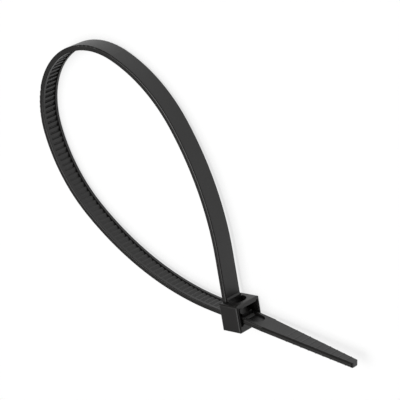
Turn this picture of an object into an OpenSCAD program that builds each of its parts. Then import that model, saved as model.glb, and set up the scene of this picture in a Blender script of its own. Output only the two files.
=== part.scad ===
// Moulded nylon cable tie, closed into a loose loop with its tail pulled through the head.
// It lies on one side of its head: the loop is in the XY plane and the strap stands on edge along Z.
// The origin is the middle of the side of the head that it lies on.
// A distance along the strap is measured from the side of the head that its root grows from.
// The corner is where the slot line crosses the line, square to it, that the other long side runs towards.

/* [Strap] */
// Width of the strap
strap_w = 4.6; // [3.6:0.1:6]
// Thickness of the strap over its side rails
strap_t = 1.2; // [1:0.05:1.6]
// Radius along the edges of the smooth outer face
outer_edge_r = 0.3; // [0.1:0.05:0.4]
// Radius along the edges of the toothed inner face
inner_edge_r = 0.18; // [0.1:0.02:0.3]
// Width of each side rail beside the teeth
rail_w = 0.7; // [0.5:0.05:0.9]
// Depth of the toothed channel below the rails
channel_d = 0.45; // [0.3:0.05:0.55]
// Plain strap between the head and the arched end of the channel
root_plain_l = 4.6; // [3:0.1:8]

/* [Teeth] */
// Distance from one tooth to the next
tooth_pitch = 1.27; // [1:0.01:1.6]
// Height of a tooth above the channel floor
tooth_h = 0.28; // [0.2:0.01:0.4]
// Length of the flat crest of a tooth
tooth_crest = 0.32; // [0.1:0.02:0.36]
// Length over which the locking flank of a tooth rises
flank_l = 0.12; // [0.05:0.01:0.2]
// Plain channel floor between the last tooth and each arched end
tooth_margin = 0.5; // [0.3:0.1:2]

/* [Loop] */
// Straight strap between the corner and the long side that runs into the slot
lead_l = 3; // [2:0.1:5]
// Angle between the root and the square to the slot line, by which the head leans too
root_lean = 9.01; // [5:0.01:11]
// Centreline radius of the two shoulders
shoulder_r = 32; // [25:0.1:40]
// Centreline radius of the round end
loop_end_r = 18.2; // [15:0.1:22]

/* [Tail] */
// Toothed strap pulled through behind the head
pulled_l = 1.2; // [1:0.1:60]
// Angle at which the tail leaves the head
tail_a = 2.76; // [1:0.01:5]
// Radius of the slight bend behind the head
bend_r = 12; // [6:0.5:30]
// Plain strap at full width between the arched end of the channel and the taper
tail_plain_l = 2.6; // [0:0.1:6]
// Length of the tapered, toothless end
taper_l = 22.3; // [19:0.1:27]
// Width of the strap at its tip
tip_w = 2.3; // [1.8:0.1:3]
// Corner radius at the tip
tip_r = 0.7; // [0.3:0.05:0.85]
// Bevel along the edges of the tapered end
tail_bevel = 0.28; // [0.1:0.02:0.35]
// Number of grip ribs across the tail
grip_n = 9; // [4:1:9]
// Distance from one grip rib to the next
grip_pitch = 1.9; // [1.2:0.1:2.1]
// Radius of a grip rib
grip_r = 0.5; // [0.3:0.05:0.5]
// Height of a grip rib above the strap
grip_h = 0.04; // [0.03:0.01:0.1]
// Distance from the tip to the first grip rib
grip_end = 1.8; // [1.4:0.1:3]

/* [Head] */
// Width of the head across the strap
head_w = 7.1; // [6.8:0.1:10]
// Depth of the head from its toothed side to its exit side
head_h = 5.3; // [5:0.1:7]
// Head from the corner to the side that the root grows from
head_root_l = 2.8; // [2.7:0.1:4]
// Head from the corner to the far side
head_far_l = 3.4; // [2.6:0.1:5]
// Radius on the outer edges of the head
head_edge_r = 0.45; // [0.2:0.05:0.6]
// Clearance between the strap and each side of the slot
slot_side_gap = 0.2; // [0.1:0.05:0.35]
// Clearance between the smooth face of the strap and the slot
slot_face_gap = 0.12; // [0.08:0.02:0.3]
// Flare of the slot where the strap goes in
entry_flare = 0.35; // [0.1:0.05:0.5]
// Chamfer round the slot where the strap comes out
exit_chamfer = 0.25; // [0.1:0.05:0.35]

/* [Pawl] */
// Space above the strap in which the pawl can lift, where the pawl grows from the head
pawl_room = 1.15; // [1.1:0.05:1.35]
// Rise of that space towards the exit
exit_rise = 1.1; // [0.3:0.05:1.2]
// Thickness of the pawl above its teeth
pawl_t = 0.6; // [0.4:0.05:0.7]
// Number of teeth on the pawl
pawl_teeth = 2; // [1:1:2]
// Clearance between the pawl and the teeth, rails and walls
pawl_gap = 0.08; // [0.05:0.01:0.12]
// Wall that the pawl grows from, at the side where the strap goes in
hinge_l = 1.1; // [0.9:0.05:1.3]
// Angle at which the back of the pawl leans away from the front wall
pawl_lean = 9; // [4:0.5:10]

/* [Root] */
// Height of the step that stiffens the root above the smooth face
step_h = 0.4; // [0.2:0.05:0.6]
// Length of the level part of the step outside the head
step_l = 0.5; // [0.15:0.05:1]
// Length of the ramp from the step down to the strap
ramp_l = 0.3; // [0.2:0.1:2]
// Depth of the arched window behind the step, which opens into the space over the pawl
window_d = 1.6; // [1.5:0.05:1.9]
// Wall between the arched window and the exit side
window_wall = 1.2; // [0.8:0.05:2]

/* [Hidden] */
$fn = 48;

// The long side into the slot and each shoulder turn through the angle of a 3-4-5 triangle.
// These are the directions from their centres to the joints, and both are exact decimals.
side_joint = [0.8, 0.6];
shoulder_joint = [0.28, 0.96];
joint_a = atan2(side_joint[1], side_joint[0]);

// The loop is its own mirror image about the diagonal through the corner, so its last centre
// lies on that diagonal, which settles the radius of the two long sides.
function sum2(v) = v[0] + v[1];
closing = shoulder_r * (sum2(side_joint) - sum2(shoulder_joint)) + loop_end_r * sum2(shoulder_joint);
side_r = (closing - lead_l) / (sum2(side_joint) - 1);
side_c = [-side_r, lead_l];
shoulder_c = side_c + (side_r - shoulder_r) * side_joint;
loop_end_c = shoulder_c + (shoulder_r - loop_end_r) * shoulder_joint;

// The root runs straight from the head until it meets the other long side. These are the place of
// that meeting from the corner, across and along the root, and the length from there to the head.
lean = [cos(root_lean), sin(root_lean)];
root_x = side_r * (1 - lean[0]) + lead_l * lean[1];
root_y = side_r * lean[1] + lead_l * lean[0];
root_l = root_y - head_root_l;
head_corner = side_c + side_r * lean + root_l * [lean[1], -lean[0]];

// Entry and exit sides of the head, from the centreline of the root
entry_x = -strap_t / 2;
exit_x = head_h - strap_t / 2;

// Where a line parallel to the slot line, at a height over it, crosses a side of the head
function crossing(side_x, height) = (root_x + side_x - height * lean[1]) / lean[0];

// Bend close behind the head, at a whole tenth along the slot line
bend_x = ceil(10 * crossing(exit_x, 0) + 1) / 10;
bend_c = [bend_x, -bend_r];

// Each run of the strap: its length and its radius, which is 0 where it is straight and
// negative where it bends away from the teeth
function arc_l(radius, angle) = radius * angle * PI / 180;
tail_run = pulled_l + (strap_w / 2 - rail_w) + tail_plain_l + taper_l;
RUNS = [
    [root_l, 0],
    [arc_l(side_r, joint_a - root_lean), side_r],
    [arc_l(shoulder_r, joint_a), shoulder_r],
    [arc_l(loop_end_r, 270 - 4 * joint_a), loop_end_r],
    [arc_l(shoulder_r, joint_a), shoulder_r],
    [arc_l(side_r, joint_a), side_r],
    [lead_l + bend_x, 0],
    [arc_l(bend_r, tail_a), -bend_r],
    [tail_run, 0],
];
TAIL = len(RUNS) - 1;

function run_start(i) = i == 0 ? 0 : run_start(i - 1) + RUNS[i - 1][0];
STARTS = [for (i = [0 : len(RUNS)]) run_start(i)];
slot_s = STARTS[TAIL - 1] - bend_x;

// Position and heading at the end of a length of one run
function ahead(at, length, radius) =
    let (h = at[2], h2 = radius == 0 ? h : h + length / radius * 180 / PI)
    radius == 0
        ? [at[0] + length * cos(h), at[1] + length * sin(h), h]
        : [at[0] + radius * (sin(h2) - sin(h)), at[1] - radius * (cos(h2) - cos(h)), h2];
ROOT_FRAME = [head_corner[0], head_corner[1], 90 + root_lean];
function run_frame(i) = i == 0 ? ROOT_FRAME : ahead(run_frame(i - 1), RUNS[i - 1][0], RUNS[i - 1][1]);
FRAMES = [for (i = [0 : TAIL]) run_frame(i)];

// Position and heading at any distance along the strap, and a point beside it there
function run_of(s) = max([for (i = [0 : TAIL]) s >= STARTS[i] ? i : 0]);
function along(s) = let (i = run_of(s)) ahead(FRAMES[i], s - STARTS[i], RUNS[i][1]);
function beside(s, rise) = let (p = along(s)) [p[0] - rise * sin(p[2]), p[1] + rise * cos(p[2])];

// Channel and teeth along the strap
channel_w = strap_w - 2 * rail_w;
channel_floor = strap_t / 2 - channel_d;
arch_r = channel_w / 2;
full_l = arch_r + tail_plain_l;
channel_start = root_plain_l + arch_r;
channel_end = STARTS[TAIL] + pulled_l;
tooth_first = -floor((slot_s - channel_start - tooth_margin) / tooth_pitch);
tooth_last = floor((channel_end - tooth_margin - slot_s) / tooth_pitch) - 1;
sunk = 0.1;

// Cross sections: across the thickness along X, smooth face at -X, and across the width along Y
module plain_section() {
    r = outer_edge_r;
    q = inner_edge_r;
    union() {
        translate([-strap_t / 2 + r, -strap_w / 2]) square([strap_t - r - q, strap_w]);
        translate([-strap_t / 2, -strap_w / 2 + r]) square([strap_t / 2, strap_w - 2 * r]);
        translate([0, -strap_w / 2 + q]) square([strap_t / 2, strap_w - 2 * q]);
        for (side = [-1, 1]) {
            translate([-strap_t / 2 + r, side * (strap_w / 2 - r)]) circle(r);
            translate([strap_t / 2 - q, side * (strap_w / 2 - q)]) circle(q);
        }
    }
}

module channelled_section() {
    difference() {
        plain_section();
        translate([channel_floor, -channel_w / 2]) square([strap_t, channel_w]);
    }
}

// Section swept round a centre, from one direction to another
module sector(centre, radius, from, to) {
    reach = 100;
    translate([centre[0], centre[1], 0]) intersection() {
        rotate([0, 0, -90]) rotate_extrude($fn = 360) translate([radius, 0]) children();
        translate([0, 0, -strap_w]) linear_extrude(2 * strap_w)
            polygon([[0, 0], reach * from, 1.5 * reach * (from + to), reach * to]);
    }
}

// The same with the toothed side towards the centre
module inward_sector(centre, radius, from, to) {
    sector(centre, radius, from, to) mirror([1, 0]) children();
}

// Section swept along +X
module straight(length) {
    rotate([90, 0, 90]) linear_extrude(length) children();
}

// Root of the strap, drawn along X from the meeting with the long side back into the head.
// Its channel ends in an arched step up to the plain stretch.
module root() {
    toothed_l = root_l - channel_start;
    straight(toothed_l) mirror([1, 0]) channelled_section();
    translate([toothed_l, 0, 0]) difference() {
        straight(channel_start + head_edge_r + sunk) mirror([1, 0]) plain_section();
        translate([0, -channel_floor, 0]) rotate([90, 0, 0]) cylinder(h = channel_d + 1, r = arch_r);
    }
}

// Places what is drawn round the meeting of the root and the long side
module at_meeting() {
    translate([side_c[0], side_c[1], 0]) rotate([0, 0, root_lean]) translate([side_r, 0, 0]) children();
}

// One long side and one shoulder of the loop
module loop_side(from) {
    inward_sector(side_c, side_r, from, side_joint) channelled_section();
    inward_sector(shoulder_c, shoulder_r, side_joint, shoulder_joint) channelled_section();
}

module strap_body() {
    at_meeting() rotate([0, 0, -90]) root();
    loop_side(lean);
    mirror([1, 1, 0]) loop_side([1, 0]);
    inward_sector(loop_end_c, loop_end_r, shoulder_joint, [-shoulder_joint[1], -shoulder_joint[0]])
        channelled_section();
    translate([-lead_l, 0, 0]) straight(lead_l + bend_x) channelled_section();
    sector(bend_c, bend_r, [0, 1], [sin(tail_a), cos(tail_a)]) channelled_section();
    tail();
}

// Outline of one tooth after another. The foot of each lies a little below the channel floor.
module teeth() {
    up = channel_floor + tooth_h;
    foot = channel_floor - sunk / 2;
    rise = [
        for (k = [tooth_first : tooth_last], corner = [0 : 3])
            let (s = slot_s + k * tooth_pitch)
            corner == 0 ? beside(s, foot) :
            corner == 1 ? beside(s + flank_l, up) :
            corner == 2 ? beside(s + flank_l + tooth_crest, up) :
            beside(s + tooth_pitch - 0.02, foot)
    ];
    base = [
        for (k = [tooth_last + 1 : -1 : tooth_first]) beside(slot_s + k * tooth_pitch, channel_floor - sunk)
    ];
    translate([0, 0, -channel_w / 2 - sunk])
        linear_extrude(channel_w + 2 * sunk) polygon(concat(rise, base));
}

// Toothless end of the strap, drawn along X from the middle of the arched end to the tip
module tail_outline() {
    end_x = full_l + taper_l - tip_r;
    corner_y = tip_w / 2 - tip_r;
    corner = [for (t = [90 : -15 : 0]) [end_x + tip_r * cos(t), corner_y + tip_r * sin(t)]];
    half = concat([[-1, strap_w / 2], [full_l, strap_w / 2]], corner);
    other_half = [for (i = [len(half) - 1 : -1 : 0]) [half[i][0], -half[i][1]]];
    polygon(concat(half, other_half));
}

module tail_taper() {
    whole_l = full_l + taper_l;
    slope = atan((strap_w - tip_w) / 2 / (taper_l - tip_r));
    bevel = tail_bevel * sqrt(2);
    difference() {
        intersection() {
            union() {
                straight(whole_l) plain_section();
                for (i = [0 : grip_n - 1], face = [-1, 1])
                    translate([whole_l - grip_end - i * grip_pitch, face * (strap_t / 2 + grip_h - grip_r), 0])
                        cylinder(h = strap_w, r = grip_r, center = true);
            }
            rotate([90, 0, 0]) translate([0, 0, -strap_t]) linear_extrude(2 * strap_t) tail_outline();
        }
        translate([0, channel_floor, 0]) rotate([-90, 0, 0]) cylinder(h = channel_d + 1, r = arch_r);
        for (side = [-1, 1], face = [-1, 1])
            translate([full_l, face * strap_t / 2, side * strap_w / 2]) rotate([0, side * slope, 0])
                rotate([45, 0, 0]) translate([-1, -bevel / 2, -bevel / 2]) cube([taper_l + 4, bevel, bevel]);
    }
}

// Tail, straight on from the end of the bend
module tail() {
    translate([bend_c[0], bend_c[1], 0]) rotate([0, 0, -tail_a]) translate([0, bend_r, 0]) {
        straight(pulled_l) channelled_section();
        translate([pulled_l, 0, 0]) tail_taper();
    }
}

// Rectangle with round corners, given by its lowest and highest corners
module round_rect(low, high, r) {
    union() {
        translate([low[0] + r, low[1]]) square([high[0] - low[0] - 2 * r, high[1] - low[1]]);
        translate([low[0], low[1] + r]) square([high[0] - low[0], high[1] - low[1] - 2 * r]);
        for (x = [low[0] + r, high[0] - r], y = [low[1] + r, high[1] - r]) translate([x, y]) circle(r);
    }
}

// Head without its openings, rounded along every outer edge
module head_block() {
    low = [entry_x, -head_far_l, -head_w / 2];
    high = [exit_x, head_root_l, head_w / 2];
    r = head_edge_r;
    intersection() {
        translate([0, 0, low[2]]) linear_extrude(head_w)
            round_rect([low[0], low[1]], [high[0], high[1]], r);
        translate([0, high[1], 0]) rotate([90, 0, 0]) linear_extrude(high[1] - low[1])
            round_rect([low[0], low[2]], [high[0], high[2]], r);
        translate([low[0], 0, 0]) rotate([90, 0, 90]) linear_extrude(high[0] - low[0])
            round_rect([low[1], low[2]], [high[1], high[2]], r);
    }
}

// Slot through the head, with the room above the strap in which the pawl can lift
slot_w = strap_w + 2 * slot_side_gap;
slot_low = -strap_t / 2 - slot_face_gap;
slot_high = strap_t / 2 + pawl_gap;
room_high = strap_t / 2 + pawl_room;
exit_high = room_high + exit_rise;

module slot_cut() {
    low_x = crossing(entry_x, slot_low) + entry_flare;
    high_x = crossing(entry_x, slot_high) + entry_flare;
    hinge_x = crossing(entry_x, 0) + hinge_l;
    knee_x = crossing(exit_x, exit_high) - 2 * exit_chamfer;
    out_x = crossing(exit_x, slot_low) + 1;
    translate([0, 0, -slot_w / 2]) linear_extrude(slot_w) polygon([
        [low_x - 2, slot_low - 2], [low_x, slot_low], [out_x, slot_low],
        [out_x, exit_high], [knee_x, exit_high], [hinge_x, room_high],
        [hinge_x, slot_high], [high_x, slot_high], [high_x - 2, slot_high + 2],
    ]);
}

// Chamfer along the two ends of the exit, wider at the face than inside by its own depth
module exit_frame() {
    c = exit_chamfer;
    low = (slot_low - (root_x + exit_x) * lean[1]) / lean[0] - c;
    high = (exit_high - (root_x + exit_x) * lean[1]) / lean[0] + c;
    for (side = [-1, 1])
        translate([exit_x - c, low, side * slot_w / 2]) rotate([0, side * -45, 0])
            translate([0, 0, -c]) cube([3 * c, high - low, 2 * c]);
}

// Pawl: a toothed tongue that grows from the entry side and points to the exit. Each of its teeth
// lies in the valley in front of a strap tooth, parallel to the slope and to the locking flank.
module pawl() {
    x0 = crossing(entry_x, 0) + hinge_l - sunk;
    first = ceil((x0 + 0.4) / tooth_pitch);
    slope_l = tooth_pitch - flank_l - tooth_crest;
    short = 1 - pawl_gap / slope_l;
    point = channel_floor + pawl_gap + tooth_h * (1 - short);
    level = channel_floor + pawl_gap + tooth_h;
    back = level + pawl_t;
    width = channel_w - 2 * pawl_gap;
    lower = [
        for (k = [first + 1 : first + pawl_teeth], corner = [0 : 2])
            corner == 0 ? [k * tooth_pitch - slope_l, level] :
            corner == 1 ? [k * tooth_pitch - pawl_gap, point] :
            [k * tooth_pitch - pawl_gap + flank_l * short, level]
    ];
    end_x = lower[len(lower) - 1][0];
    translate([0, 0, -width / 2]) linear_extrude(width) polygon(concat(
        [[x0, room_high + sunk], [x0, level]],
        lower,
        [[end_x, back], [x0 + sunk, back + (end_x - x0) * tan(pawl_lean)], [x0 + sunk, room_high + sunk]]
    ));
}

// Step and ramp that stiffen the strap where it leaves the head
module root_step() {
    face = strap_t / 2;
    y0 = head_root_l;
    r = outer_edge_r;
    translate([0, 0, -strap_w / 2 + r]) linear_extrude(strap_w - 2 * r) polygon([
        [face - sunk, y0 - sunk - head_edge_r], [face + step_h, y0 - sunk - head_edge_r],
        [face + step_h, y0 + step_l], [face, y0 + step_l + ramp_l], [face - sunk, y0 + step_l + ramp_l],
    ]);
}

// Arched window in the root side of the head, behind the step
module window_cut() {
    x0 = strap_t / 2 + step_h;
    apex = exit_x - window_wall;
    r = min(strap_w / 2, apex - x0);
    translate([0, head_root_l + 1, 0]) rotate([90, 0, 0]) linear_extrude(window_d + 1)
        intersection() {
            union() {
                translate([apex - r, 0]) circle(r);
                translate([x0, -r]) square([apex - r - x0, 2 * r]);
            }
            translate([x0, -strap_w]) square([head_h, 2 * strap_w]);
        }
}

// The head, its step and its window lean with the root, while the slot and the pawl follow the strap
module at_head() {
    at_meeting() translate([0, -root_y, 0]) children();
}

module head() {
    difference() {
        at_head() union() {
            head_block();
            root_step();
        }
        slot_cut();
        at_head() union() {
            exit_frame();
            window_cut();
        }
    }
    pawl();
}

// Middle of the head, from the corner
middle_x = root_x + (entry_x + exit_x) / 2;
middle_y = (head_root_l - head_far_l) / 2;
head_middle = [middle_x * lean[0] - middle_y * lean[1], middle_x * lean[1] + middle_y * lean[0]];

module cable_tie() {
    color("#1d1d1e")
        translate([-head_middle[0], -head_middle[1], head_w / 2])
            union() {
                head();
                strap_body();
                teeth();
            }
}

cable_tie();
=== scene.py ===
"""Black nylon cable tie, closed into a loose loop, lying on one side of its head on a white bench."""

import math

import bmesh
import bpy
from mathutils import Matrix, Vector

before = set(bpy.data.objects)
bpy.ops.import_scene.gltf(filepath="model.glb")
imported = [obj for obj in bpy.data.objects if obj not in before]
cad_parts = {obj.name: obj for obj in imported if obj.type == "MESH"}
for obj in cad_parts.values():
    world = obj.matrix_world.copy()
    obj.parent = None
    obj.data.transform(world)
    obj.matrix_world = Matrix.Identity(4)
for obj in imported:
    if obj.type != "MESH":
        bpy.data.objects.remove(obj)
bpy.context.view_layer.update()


# Cable tie: one moulding of black nylon 6/6, with its strap, head, pawl and tail in one piece.
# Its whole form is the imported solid, and only the finish that it has from the mould is made here.
def linear(hex_code):
    """An sRGB colour such as #1c1c1c as linear red, green, blue and alpha."""
    channels = [int(hex_code[i : i + 2], 16) / 255 for i in (1, 3, 5)]
    return [c / 12.92 if c <= 0.04045 else ((c + 0.055) / 1.055) ** 2.4 for c in channels] + [1.0]


def add_node(tree, kind, settings=None, links=None):
    """Adds one node, sets its attributes and sockets, and links other nodes' outputs to its inputs."""
    made = tree.nodes.new(kind)
    for key, value in (settings or {}).items():
        if isinstance(key, str) and hasattr(made, key):
            setattr(made, key, value)
        else:
            made.inputs[key].default_value = value
    for key, source in (links or {}).items():
        tree.links.new(source, made.inputs[key])
    return made


def empty_nodes(owner):
    """The node tree of a material or world, cleared."""
    owner.use_nodes = True
    owner.node_tree.nodes.clear()
    return owner.node_tree


NYLON_IOR = 1.53
NYLON_TINTS = (linear("#0e0d0c"), linear("#151312"))
GLOSSIEST_ROUGHNESS = 0.38
DULLEST_ROUGHNESS = 0.48
MELT_FLOW_MM = 7.0
MOULD_GRAIN_MM = 0.16
MOULD_GRAIN_DEPTH_M = 0.00001


def moulded_nylon():
    """Near black and satin: gloss and tint drift where the melt flowed, over a faint spark-eroded grain."""
    material = bpy.data.materials.new("moulded_black_nylon")
    tree = empty_nodes(material)
    place = add_node(tree, "ShaderNodeTexCoord").outputs["Object"]
    flow = add_node(
        tree,
        "ShaderNodeTexNoise",
        {"Scale": 1000 / MELT_FLOW_MM, "Detail": 2.0, "Roughness": 0.5},
        {"Vector": place},
    )
    grain = add_node(
        tree,
        "ShaderNodeTexNoise",
        {"Scale": 1000 / MOULD_GRAIN_MM, "Detail": 3.0, "Roughness": 0.6},
        {"Vector": place},
    )
    tint = add_node(
        tree, "ShaderNodeMix", {"data_type": "RGBA", 6: NYLON_TINTS[0], 7: NYLON_TINTS[1]}, {0: flow.outputs[0]}
    )
    gloss = add_node(
        tree,
        "ShaderNodeMapRange",
        {"To Min": GLOSSIEST_ROUGHNESS, "To Max": DULLEST_ROUGHNESS},
        {"Value": flow.outputs[0]},
    )
    bump = add_node(
        tree, "ShaderNodeBump", {"Strength": 0.25, "Distance": MOULD_GRAIN_DEPTH_M}, {"Height": grain.outputs[0]}
    )
    surface = add_node(
        tree,
        "ShaderNodeBsdfPrincipled",
        {"IOR": NYLON_IOR},
        {"Base Color": tint.outputs[2], "Roughness": gloss.outputs[0], "Normal": bump.outputs[0]},
    )
    add_node(tree, "ShaderNodeOutputMaterial", {}, {"Surface": surface.outputs[0]})
    return material


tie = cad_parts["cable_tie"]
for material_slot in tie.material_slots:
    material_slot.material = moulded_nylon()

# Bench: a flat bench top covered with matt white card, on which the tie lies.
# The tie rests on the side of its head and the far end of its loop, which is narrower than the head,
# so the bench is turned by the slight angle between the two. It turns about the edge of the head's side.
BENCH_M = 3.0
REST_TILT_DEG = 1.08
HEAD_EDGE_M = Vector((-0.0026, 0.0023, 0.0))
TOWARDS_LOOP = Vector((-1.0, 1.0, 0.0)).normalized()
CARD_COLOUR = linear("#fbfbfb")
CARD_GLOW_SHARE = 0.75


def seen_directly(tree):
    """1 for what the camera sees straight, mirrored or through glass, and 0 for what only lights."""
    path = add_node(tree, "ShaderNodeLightPath")
    mirrored = add_node(
        tree,
        "ShaderNodeMath",
        {"operation": "MAXIMUM"},
        {0: path.outputs["Is Glossy Ray"], 1: path.outputs["Is Transmission Ray"]},
    )
    return add_node(
        tree, "ShaderNodeMath", {"operation": "MAXIMUM"}, {0: path.outputs["Is Camera Ray"], 1: mirrored.outputs[0]}
    ).outputs[0]


def white_card():
    """Matt white that still takes the tie's shadow, with a glow that brings it to white where it is seen."""
    material = bpy.data.materials.new("white_card")
    tree = empty_nodes(material)
    matt = add_node(tree, "ShaderNodeBsdfDiffuse", {"Color": CARD_COLOUR})
    glow = add_node(tree, "ShaderNodeEmission", {"Color": linear("#ffffff")}, {"Strength": seen_directly(tree)})
    lift = add_node(tree, "ShaderNodeMixShader", {0: CARD_GLOW_SHARE}, {1: matt.outputs[0], 2: glow.outputs[0]})
    add_node(tree, "ShaderNodeOutputMaterial", {}, {"Surface": lift.outputs[0]})
    return material


tilt = Matrix.Rotation(math.radians(REST_TILT_DEG), 4, TOWARDS_LOOP.cross(Vector((0.0, 0.0, 1.0))))
about_head_edge = Matrix.Translation(HEAD_EDGE_M) @ tilt @ Matrix.Translation(-HEAD_EDGE_M)
bench_form = bmesh.new()
bmesh.ops.create_grid(bench_form, x_segments=1, y_segments=1, size=BENCH_M / 2, matrix=about_head_edge)
bench_mesh = bpy.data.meshes.new("bench")
bench_form.to_mesh(bench_mesh)
bench_form.free()
bench_mesh.materials.append(white_card())
bench = bpy.data.objects.new("bench", bench_mesh)
bpy.context.scene.collection.objects.link(bench)

# Room: plain and dim, with a little even white light from all round.
# One wide soft lamp hangs high over the bench and gives nearly all of the light, so shadows are short.
ROOM_STRENGTH = 0.08
LAMP_PLACE_M = Vector((-0.1, 0.1, 1.5))
LAMP_AIM_M = Vector((-0.01, 0.01, 0.0))
LAMP_WIDTH_M = 1.4
LAMP_WATTS = 27.0

room = bpy.data.worlds.new("white_room")
room_tree = empty_nodes(room)
sky = add_node(room_tree, "ShaderNodeBackground", {"Color": linear("#ffffff"), "Strength": ROOM_STRENGTH})
add_node(room_tree, "ShaderNodeOutputWorld", {}, {"Surface": sky.outputs[0]})
bpy.context.scene.world = room

lamp_data = bpy.data.lights.new("overhead_lamp", "AREA")
lamp_data.shape = "DISK"
lamp_data.size = LAMP_WIDTH_M
lamp_data.energy = LAMP_WATTS
lamp = bpy.data.objects.new("overhead_lamp", lamp_data)
lamp.location = LAMP_PLACE_M
lamp.rotation_euler = (LAMP_AIM_M - LAMP_PLACE_M).to_track_quat("-Z", "Y").to_euler()
bpy.context.scene.collection.objects.link(lamp)

# Camera: a long lens looks down on the tie from about 0.45 m.
# It aims at a point inside the loop, and is rolled until the head stands as it does in the photograph.
EYE_M = Vector((0.2705, 0.2118, 0.2945))
LOOP_AIM_M = Vector((-0.01157, 0.02279, 0.0023))
PICTURE_UP = Vector((-0.3092, 0.8659, -0.3933))
LENS_MM = 190.3
SENSOR_MM = 36.0

camera_data = bpy.data.cameras.new("camera")
camera_data.lens = LENS_MM
camera_data.sensor_width = SENSOR_MM
camera = bpy.data.objects.new("camera", camera_data)
backwards = (EYE_M - LOOP_AIM_M).normalized()
rightwards = PICTURE_UP.cross(backwards).normalized()
turn = Matrix((rightwards, backwards.cross(rightwards), backwards)).transposed()
camera.matrix_world = Matrix.Translation(EYE_M) @ turn.to_4x4()
bpy.context.scene.collection.objects.link(camera)
bpy.context.scene.camera = camera
bpy.context.scene.view_settings.view_transform = "Standard"
